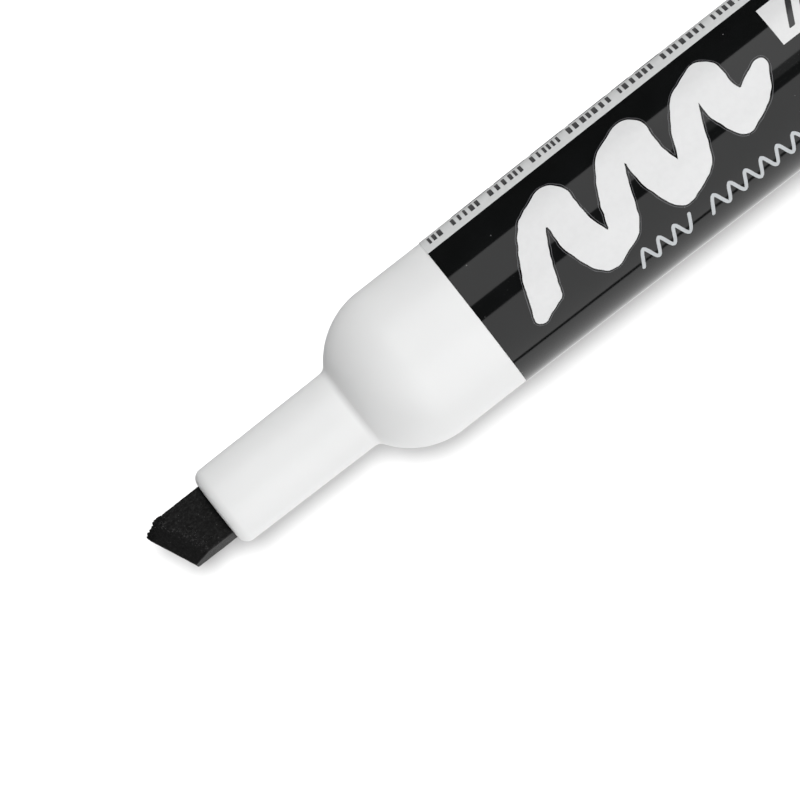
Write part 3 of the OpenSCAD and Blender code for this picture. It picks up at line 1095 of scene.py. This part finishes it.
def make_liner():
    """Inner seal of the cap: a cup with a bead near its mouth."""
    bottom_x = LINER_END_X - LINER_BOTTOM
    bead_x = LINER_X + BEAD_AT
    outline = [(LINER_X + LINER_LEAD_LEN, LINER_BORE_R), (LINER_X, LINER_BORE_R + LINER_LEAD)]
    outline += [(LINER_X, LINER_R - LINER_EDGE), (LINER_X + LINER_EDGE, LINER_R)]
    outline += [(LINER_END_X, LINER_R), (LINER_END_X, 0), (bottom_x, 0), (bottom_x, LINER_BORE_R)]
    for i in range(BEAD_STEPS, -1, -1):
        angle = math.pi * i / BEAD_STEPS
        outline.append((bead_x - BEAD_HALF * math.cos(angle), LINER_BORE_R - BEAD_HEIGHT * math.sin(angle)))
    cup = to_object("cap_liner_cup", turned(outline), LINER_PLASTIC)
    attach(cup, "cap")
    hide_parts("cap_liner")


def make_cap():
    """Ribbed cap with its liner and the socket that holds the liner."""
    make_cap_shell()
    make_socket()
    make_liner()


def finish_hidden():
    """Better materials for the CAD nodes that stay."""
    for node, material in (("ink_reservoir", INK_FIBRE), ("reservoir_sleeve", SLEEVE_FILM)):
        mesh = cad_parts[node].data
        mesh.materials.clear()
        mesh.materials.append(material)


# ---------------------------------------------------------------- studio

VIEW_CENTRE = (LABEL_X - 11.03, -2.415)
FRAME_WIDTH = 78.8
VIEW_DISTANCE = 800
SENSOR_WIDTH = 36
MARKER_TURN = math.radians(37.98)
PANEL_DISTANCE = 500
TABLE_PANEL_DISTANCE = 60
FLOOR_R = 4500
BACKDROP_R = 4600


def make_camera():
    """Long lens straight above the marker, turned so that the marker rises to the right."""
    data = bpy.data.cameras.new("camera")
    data.sensor_width = SENSOR_WIDTH
    data.lens = SENSOR_WIDTH * VIEW_DISTANCE / FRAME_WIDTH
    data.clip_start = 0.01
    data.clip_end = 10
    camera = bpy.data.objects.new("camera", data)
    bpy.context.scene.collection.objects.link(camera)
    camera.rotation_euler = (0, 0, -MARKER_TURN)
    camera.location = Vector((VIEW_CENTRE[0], VIEW_CENTRE[1], AXIS_Z + VIEW_DISTANCE)) * MM
    bpy.context.scene.camera = camera


def add_light(name, kind, receivers, **values):
    """Light that the camera doesn't see, and that only some objects receive."""
    data = bpy.data.lights.new(name, kind)
    for key, value in values.items():
        setattr(data, key, value)
    light = bpy.data.objects.new(name, data)
    bpy.context.scene.collection.objects.link(light)
    light.visible_camera = False
    light.light_linking.receiver_collection = receivers
    return light


def softbox(name, start, end, x_from, x_to, radiance, receivers, distance=PANEL_DISTANCE):
    """Panel that fills the angles from start to end as the marker sees it, from the top toward -Y."""
    middle = math.radians((start + end) / 2)
    width = 2 * distance * math.tan(math.radians((end - start) / 2)) * MM
    length = (x_to - x_from) * MM
    light = add_light(name, "AREA", receivers, shape="RECTANGLE", size=length, size_y=width,
                      energy=radiance * math.pi * width * length)
    away = Vector((0, -math.sin(middle), math.cos(middle)))
    side = Vector((1, 0, 0))
    turn = Matrix((side, away.cross(side), away)).transposed().to_4x4()
    centre = Vector(((x_from + x_to) / 2, 0, AXIS_Z)) * MM + away * distance * MM
    light.matrix_world = Matrix.Translation(centre) @ turn
    return light


def key_panel(name, lean_x, lean_y, height, size, irradiance, receivers):
    """Round panel overhead that faces straight down. It leans toward +X and +Y from over the shoulder."""
    reach = math.hypot(1, math.tan(math.radians(lean_x)), math.tan(math.radians(lean_y)))
    light = add_light(name, "AREA", receivers, shape="DISK", size=size * MM,
                      energy=irradiance * math.pi * (height * MM) ** 2 * reach ** 4)
    light.location = Vector((DOME_X + height * math.tan(math.radians(lean_x)),
                             height * math.tan(math.radians(lean_y)), AXIS_Z + height)) * MM
    light.visible_glossy = False


def sun(name, lean_x, lean_y, angle, irradiance, receivers):
    """Distant light that leans from straight down toward +X and +Y, in degrees."""
    light = add_light(name, "SUN", receivers, energy=irradiance, angle=math.radians(angle))
    away = Vector((math.tan(math.radians(lean_x)), math.tan(math.radians(lean_y)), 1))
    light.rotation_mode = "QUATERNION"
    light.rotation_quaternion = away.to_track_quat("Z", "Y")
    light.visible_glossy = False


def collection(name, objects):
    """Collection that also holds these objects."""
    made = bpy.data.collections.new(name)
    bpy.context.scene.collection.children.link(made)
    for member in objects:
        made.objects.link(member)
    return made


def make_stage():
    """Floor disc and a bright dome behind everything, with neither in the marker's reflections."""
    bm = bmesh.new()
    bmesh.ops.create_circle(bm, cap_ends=True, radius=FLOOR_R, segments=96)
    floor = to_object("floor", bm, floor_white())
    bm = bmesh.new()
    bmesh.ops.create_uvsphere(bm, u_segments=48, v_segments=24, radius=BACKDROP_R)
    dome = to_object("backdrop", bm, backdrop_white())
    floor.visible_glossy = False
    for flag in ("visible_diffuse", "visible_glossy", "visible_transmission", "visible_shadow"):
        setattr(dome, flag, False)
    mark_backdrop(floor, dome)
    return floor


def make_lights(floor):
    """Panels, a soft key and faint fills for the marker, and a key for the floor and its narrow shadow.

    The far panel and the two under the table's edge show only as gloss.
    """
    marker = collection("marker_lit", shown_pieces())
    ground = collection("floor_lit", [floor])
    softbox("panel_back", -56.2, -7.0, -130, 260, 1.14, marker)
    softbox("panel_front", 16.8, 92.1, -230, 260, 1.13, marker)
    glossy_only = (
        softbox("panel_back_far", -56.2, 4, 10, 260, 0.28, marker),
        softbox("panel_table", 92.5, 176, -600, 600, 1.05, marker, TABLE_PANEL_DISTANCE),
        softbox("panel_table_back", -176, -118, -600, 600, 0.2, marker, TABLE_PANEL_DISTANCE),
    )
    for light in glossy_only:
        light.visible_diffuse = False
    key_panel("key", 12, 0, 350, 120, 1.52, marker)
    sun("fill_back", 35, 50, 50, 0.9, marker)
    sun("fill_front", -40, -65, 50, 0.4, marker)
    sun("fill_nib", -45, -45, 50, 0.2, marker)
    sun("floor_key", 2, 6.6, 20, 3.56 * math.pi, ground)


def make_world():
    """Black surroundings, and plain colour handling so that white stays white."""
    world = bpy.data.worlds.new("world")
    world.use_nodes = True
    world.node_tree.nodes["Background"].inputs["Strength"].default_value = 0
    scene = bpy.context.scene
    scene.world = world
    scene.view_settings.view_transform = "Standard"
    scene.view_settings.look = "None"


make_camera()
make_barrel()
make_label()
make_nib()
make_fibres()
make_plug()
make_cap()
finish_hidden()
make_lights(make_stage())
make_world()
